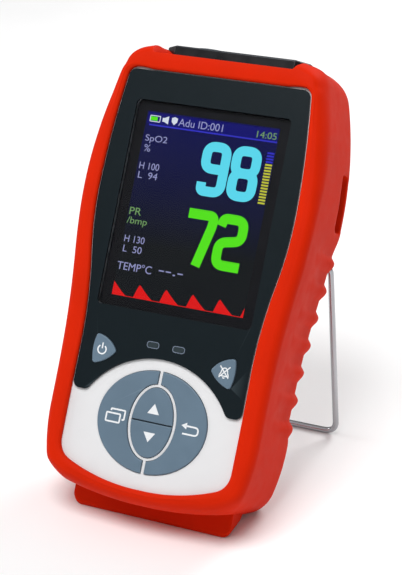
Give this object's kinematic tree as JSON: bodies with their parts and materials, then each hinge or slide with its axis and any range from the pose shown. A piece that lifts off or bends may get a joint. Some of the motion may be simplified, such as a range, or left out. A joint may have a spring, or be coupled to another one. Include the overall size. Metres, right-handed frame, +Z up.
{
  "type": "handheld patient monitor",
  "caption": "Handheld patient monitor with a lit display and keypad in a ribbed rubber boot, leaning back on a folding wire bail, with probe sockets on top.",
  "frame": {"origin": "on the table, under the centre of the bounding box of the standing monitor", "axes": "+Z up from the table; +Y towards the back; the display faces -Y and leans back 29.5 degrees; +X to the viewer's right"},
  "size_m": [0.0776, 0.0964, 0.1334],
  "materials": {
    "boot_rubber": "satin silicone rubber",
    "white_plastic": "fine-grained moulded plastic",
    "bezel_plastic": "satin moulded plastic",
    "window": "hard-coated clear window",
    "display": "lit display",
    "inner_metal": "bare sheet",
    "key_rubber": "satin silicone keys",
    "mat_rubber": "matt silicone",
    "clear_plastic": "clear moulded",
    "board": "solder mask",
    "black_plastic": "moulded",
    "grey_plastic": "moulded",
    "steel": "bright drawn steel",
    "contact_metal": "plated",
    "cell_wrap": "printed film sleeve"
  },
  "bodies": {
    "case": {"boot": "boot_rubber", "front_case": "white_plastic", "bezel": "bezel_plastic", "display_window": "window", "lcd_panel": "display", "backlight": "clear_plastic", "lcd_frame": "inner_metal", "keypad_mat": "mat_rubber", "snap_domes": "steel", "light_pipes": "clear_plastic", "status_leds": "clear_plastic", "main_board": "board", "processor": "black_plastic", "board_chips": "black_plastic", "display_connector": "black_plastic", "board_screws": "steel", "case_gasket": "mat_rubber", "rear_case": "white_plastic", "battery_cells": "cell_wrap", "battery_contacts": "contact_metal", "speaker": "black_plastic", "connector_block": "black_plastic", "spo2_socket": "grey_plastic", "spo2_contacts": "contact_metal", "temp_jack": "grey_plastic", "data_port": "steel", "case_screws": "steel"},
    "power_key": {"power_key": "key_rubber"},
    "alarm_silence_key": {"alarm_silence_key": "key_rubber"},
    "menu_key": {"menu_key": "key_rubber"},
    "return_key": {"return_key": "key_rubber"},
    "up_key": {"up_key": "key_rubber"},
    "down_key": {"down_key": "key_rubber"},
    "bail": {"bail": "steel"},
    "battery_door": {"battery_door": "white_plastic"}
  },
  "joints": [
    {"name": "bail_fold", "type": "hinge", "parent": "case", "child": "bail", "pos_m": [0, 0.02244, 0.0673], "axis": [1, 0, 0], "range_deg": [-39.3, 0]},
    {"name": "power_press", "type": "slide", "parent": "case", "child": "power_key", "axis": [0, 0.8704, -0.4924], "range_m": [0, 0.0008], "stiffness_N_per_m": 1500, "springref_m": -0.0006},
    {"name": "alarm_silence_press", "type": "slide", "parent": "case", "child": "alarm_silence_key", "axis": [0, 0.8704, -0.4924], "range_m": [0, 0.0008], "stiffness_N_per_m": 1500, "springref_m": -0.0006},
    {"name": "menu_press", "type": "slide", "parent": "case", "child": "menu_key", "axis": [0, 0.8704, -0.4924], "range_m": [0, 0.0008], "stiffness_N_per_m": 1500, "springref_m": -0.0006},
    {"name": "return_press", "type": "slide", "parent": "case", "child": "return_key", "axis": [0, 0.8704, -0.4924], "range_m": [0, 0.0008], "stiffness_N_per_m": 1500, "springref_m": -0.0006},
    {"name": "up_press", "type": "slide", "parent": "case", "child": "up_key", "axis": [0, 0.8704, -0.4924], "range_m": [0, 0.0008], "stiffness_N_per_m": 1500, "springref_m": -0.0006},
    {"name": "down_press", "type": "slide", "parent": "case", "child": "down_key", "axis": [0, 0.8704, -0.4924], "range_m": [0, 0.0008], "stiffness_N_per_m": 1500, "springref_m": -0.0006},
    {"name": "battery_door_pull", "type": "slide", "parent": "case", "child": "battery_door", "axis": [0, 0.8704, -0.4924], "range_m": [0, 0.012]}
  ]
}
